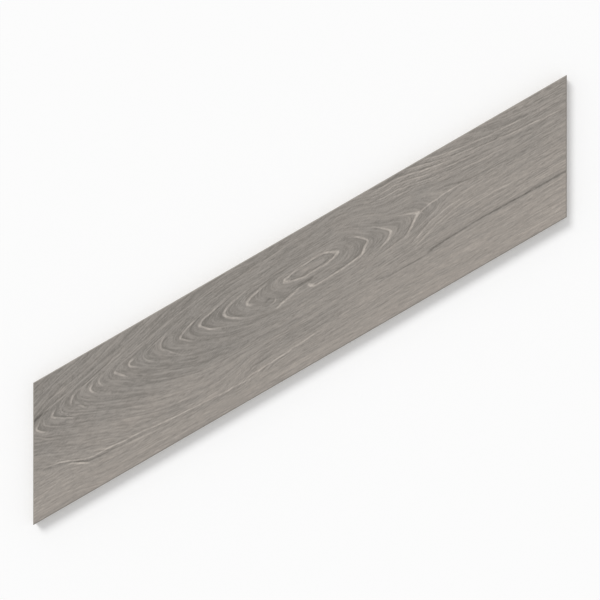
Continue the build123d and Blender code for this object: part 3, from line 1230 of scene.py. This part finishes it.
def disc_mesh(name, radius, rings, spokes):
    """A level disc: rings whose radii grow with the square of their number, cut by even spokes."""
    r = radius * (np.arange(1, rings + 1) / rings) ** 2
    angle = np.arange(spokes) * math.tau / spokes
    x = r[:, None] * np.cos(angle)
    y = r[:, None] * np.sin(angle)
    points = np.concatenate(([(0, 0, 0)], np.stack((x, y, np.zeros(x.shape)), axis=-1).reshape(-1, 3)))
    numbers = 1 + np.arange(rings * spokes).reshape(rings, spokes)
    after = np.roll(numbers, -1, axis=1)
    fan = np.stack((np.zeros(spokes, int), numbers[0], after[0]), axis=-1)
    quads = np.stack((numbers[:-1], numbers[1:], after[1:], after[:-1]), axis=-1).reshape(-1, 4)
    mesh = bpy.data.meshes.new(name)
    mesh.from_pydata(points.tolist(), [], fan.tolist() + quads.tolist())
    return mesh


# The stage: the floor's rings and spokes, its roughness, how bright the sky itself shows, and the picture's
# width in the camera in millimetres
FLOOR_RINGS = 24
FLOOR_SPOKES = 64
FLOOR_ROUGHNESS = 0.95
SKY_SHOWN = 0.97
SENSOR_WIDTH = 36.0
BLACK = (0.0, 0.0, 0.0, 1.0)
WHITE = (1.0, 1.0, 1.0, 1.0)


def make_floor(look):
    """The pale floor under the plank. A little glow that only the camera sees takes it up to white."""
    material, nodes = new_finish("pale_floor")
    seen = Amount(nodes, nodes.add("ShaderNodeLightPath", {}, {}).outputs["Is Camera Ray"])
    glow = nodes.mix(seen, BLACK, WHITE)
    nodes.surface({
        "Base Color": opaque(look.floor),
        "Roughness": FLOOR_ROUGHNESS,
        "Specular IOR Level": 0.0,
        "Emission Color": glow,
        "Emission Strength": look.floor_glow,
    })
    mesh = disc_mesh("stage_floor", look.floor_radius, FLOOR_RINGS, FLOOR_SPOKES)
    mesh.materials.append(material)
    floor = add_object("stage_floor", mesh)


def make_light(look):
    """An even sky, which shows as white, and a broad key lamp from the picture's upper left."""
    scene = bpy.context.scene
    scene.world = bpy.data.worlds.new("studio")
    scene.world.use_nodes = True
    nodes = Nodes(scene.world.node_tree)
    path = nodes.add("ShaderNodeLightPath", {}, {}).outputs
    seen = Amount(nodes, path["Is Camera Ray"]).maths("MAXIMUM", Amount(nodes, path["Is Glossy Ray"]))
    seen = seen.maths("MAXIMUM", Amount(nodes, path["Is Transmission Ray"]))
    lit = nodes.add("ShaderNodeBackground", {}, {"Color": WHITE, "Strength": look.sky}).outputs[0]
    shown = nodes.add("ShaderNodeBackground", {}, {"Color": WHITE, "Strength": SKY_SHOWN}).outputs[0]
    mixed = nodes.add("ShaderNodeMixShader", {}, {0: seen, 1: lit, 2: shown}).outputs[0]
    nodes.add("ShaderNodeOutputWorld", {}, {"Surface": mixed})
    lamp = bpy.data.lights.new("key_lamp", "SUN")
    lamp.energy = look.key * math.pi / math.sin(look.key_height)
    lamp.angle = look.key_spread
    key = add_object("key_lamp", lamp)
    key.rotation_euler = (0, math.pi / 2 - look.key_height, look.key_bearing - look.turn)


def make_camera(look, sizes):
    """A long lens straight above the plank, turned so that the long edges rise to the right and the mitred
    ends stand upright."""
    corner_s = np.array([0, 1, 1, 0])
    corner_t = np.array([0, 0, 1, 1])
    x, y = on_plank(corner_s, corner_t, sizes)
    across = x * math.cos(look.turn) - y * math.sin(look.turn)
    view_width = np.ptp(across) / look.fill
    lens = bpy.data.cameras.new("camera")
    lens.lens = look.lens
    lens.sensor_width = SENSOR_WIDTH
    camera = add_object("camera", lens)
    camera.location = (0, 0, sizes.thickness + view_width * look.lens / SENSOR_WIDTH)
    camera.rotation_euler = (0, 0, -look.turn)
    bpy.context.scene.camera = camera


class PLANK_OT_make_plank(bpy.types.Operator):
    """Make the plank with its grain, edges and back"""

    bl_idname = "plank.make_plank"
    bl_label = "Make plank"

    def execute(self, context):
        scene = context.scene
        mesh = plank_mesh("wood_grain_plank", scene.plank_sizes, scene.plank_relief)
        mesh.materials.append(grain_finish(scene.plank_colours))
        mesh.materials.append(body_finish(scene.plank_colours, scene.plank_sizes))
        plank = add_object("wood_grain_plank", mesh)
        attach(plank, CAD_BODY)
        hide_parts(CAD_NODE)
        return {"FINISHED"}


class PLANK_OT_make_stage(bpy.types.Operator):
    """Make the pale floor, the light and the camera"""

    bl_idname = "plank.make_stage"
    bl_label = "Make stage"

    def execute(self, context):
        scene = context.scene
        scene.view_settings.view_transform = "Standard"
        make_floor(scene.plank_stage)
        make_light(scene.plank_stage)
        make_camera(scene.plank_stage, scene.plank_sizes)
        return {"FINISHED"}


class PLANK_PT_sidebar(bpy.types.Panel):
    """The plank's sizes, colours and stage, with a button for each thing to make"""

    bl_idname = "PLANK_PT_sidebar"
    bl_label = "Chevron plank"
    bl_space_type = "VIEW_3D"
    bl_region_type = "UI"
    bl_category = "Plank"

    def draw(self, context):
        scene = context.scene
        for group in (scene.plank_sizes, scene.plank_relief, scene.plank_colours, scene.plank_stage):
            box = self.layout.box()
            for name in group.__annotations__:
                box.prop(group, name)
        self.layout.operator(PLANK_OT_make_plank.bl_idname)
        self.layout.operator(PLANK_OT_make_stage.bl_idname)


CLASSES = (
    PlankSizes, GrainRelief, PlankColours, StageLook,
    PLANK_OT_make_plank, PLANK_OT_make_stage, PLANK_PT_sidebar,
)
GROUPS = {
    "plank_sizes": PlankSizes, "plank_relief": GrainRelief, "plank_colours": PlankColours,
    "plank_stage": StageLook,
}


def register():
    """Adds the classes, and their properties to every scene."""
    for made in CLASSES:
        bpy.utils.register_class(made)
    for name, group in GROUPS.items():
        setattr(bpy.types.Scene, name, PointerProperty(type=group))


def unregister():
    """Takes the properties and the classes away again."""
    for name in GROUPS:
        delattr(bpy.types.Scene, name)
    for made in reversed(CLASSES):
        bpy.utils.unregister_class(made)


def main():
    """Makes the plank and its stage."""
    register()
    bpy.ops.plank.make_plank()
    bpy.ops.plank.make_stage()


if __name__ == "__main__":
    main()
